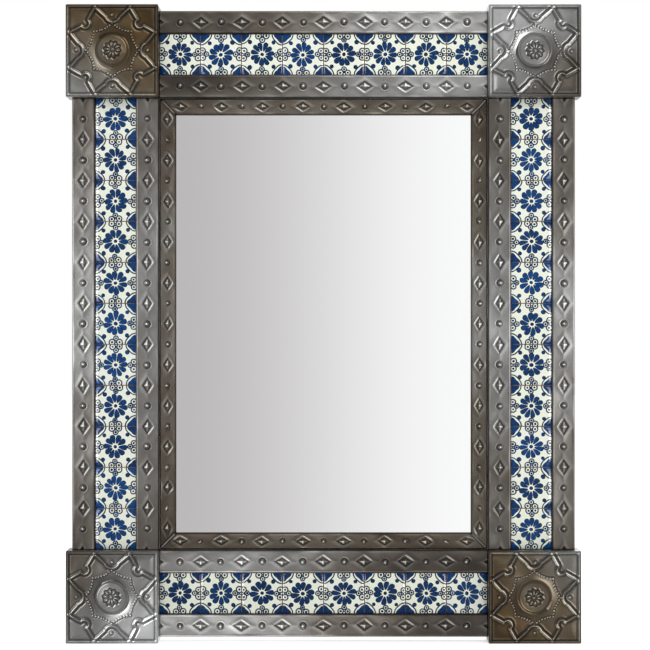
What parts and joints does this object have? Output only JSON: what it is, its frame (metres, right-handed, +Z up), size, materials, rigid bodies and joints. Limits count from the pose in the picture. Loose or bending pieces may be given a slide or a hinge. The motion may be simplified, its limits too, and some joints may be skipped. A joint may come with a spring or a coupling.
{
  "type": "wall mirror",
  "caption": "Rectangular wall mirror in embossed antiqued tinplate, with corner boxes that bear a tin star, rails inlaid with blue and cream painted tiles, and swinging hanger rings.",
  "frame": {"origin": "middle of the wall plane, where the backs of the corner boxes touch the wall", "axes": "the front faces -Y, +X is to the right seen from the front, +Z is up the mirror's long side, and +Y points into the wall"},
  "size_m": [0.6252, 0.0422, 0.7752],
  "materials": {
    "aged_tin": "antiqued tinplate, dark brown patina rubbed back on the raised parts",
    "plain_tin": "plain dull tinplate",
    "glazed_tile": "glossy tin-glazed earthenware painted in cobalt blue on cream",
    "mortar": "matte tile adhesive",
    "mirror": "silvered 3 mm float glass",
    "hardboard": "plain brown hardboard",
    "steel_wire": "zinc-plated wire"
  },
  "bodies": {
    "mirror": {"corner_block_tl": "aged_tin", "corner_block_tr": "aged_tin", "corner_block_bl": "aged_tin", "corner_block_br": "aged_tin", "corner_back_tl": "plain_tin", "corner_back_tr": "plain_tin", "corner_back_bl": "plain_tin", "corner_back_br": "plain_tin", "outer_band_top": "aged_tin", "inner_band_top": "aged_tin", "tile_tray_top": "plain_tin", "tile_bed_top": "mortar", "tiles_top": "glazed_tile", "rail_back_top": "plain_tin", "inner_frame_top": "aged_tin", "outer_band_bottom": "aged_tin", "inner_band_bottom": "aged_tin", "tile_tray_bottom": "plain_tin", "tile_bed_bottom": "mortar", "tiles_bottom": "glazed_tile", "rail_back_bottom": "plain_tin", "inner_frame_bottom": "aged_tin", "outer_band_left": "aged_tin", "inner_band_left": "aged_tin", "tile_tray_left": "plain_tin", "tile_bed_left": "mortar", "tiles_left": "glazed_tile", "rail_back_left": "plain_tin", "inner_frame_left": "aged_tin", "outer_band_right": "aged_tin", "inner_band_right": "aged_tin", "tile_tray_right": "plain_tin", "tile_bed_right": "mortar", "tiles_right": "glazed_tile", "rail_back_right": "plain_tin", "inner_frame_right": "aged_tin", "mirror_glass": "mirror", "backing_board": "hardboard", "retainer_tabs": "plain_tin", "hanger_strap_left": "plain_tin", "hanger_strap_right": "plain_tin"},
    "hanger_ring_left": {"hanger_ring_left": "steel_wire"},
    "hanger_ring_right": {"hanger_ring_right": "steel_wire"}
  },
  "joints": [
    {"name": "hanger_swing_left", "type": "hinge", "parent": "mirror", "child": "hanger_ring_left", "pos_m": [-0.15, -0.0028, 0.3396], "axis": [1, 0, 0], "range_deg": [0, 180]},
    {"name": "hanger_swing_right", "type": "hinge", "parent": "mirror", "child": "hanger_ring_right", "pos_m": [0.15, -0.0028, 0.3396], "axis": [1, 0, 0], "range_deg": [0, 180]}
  ]
}
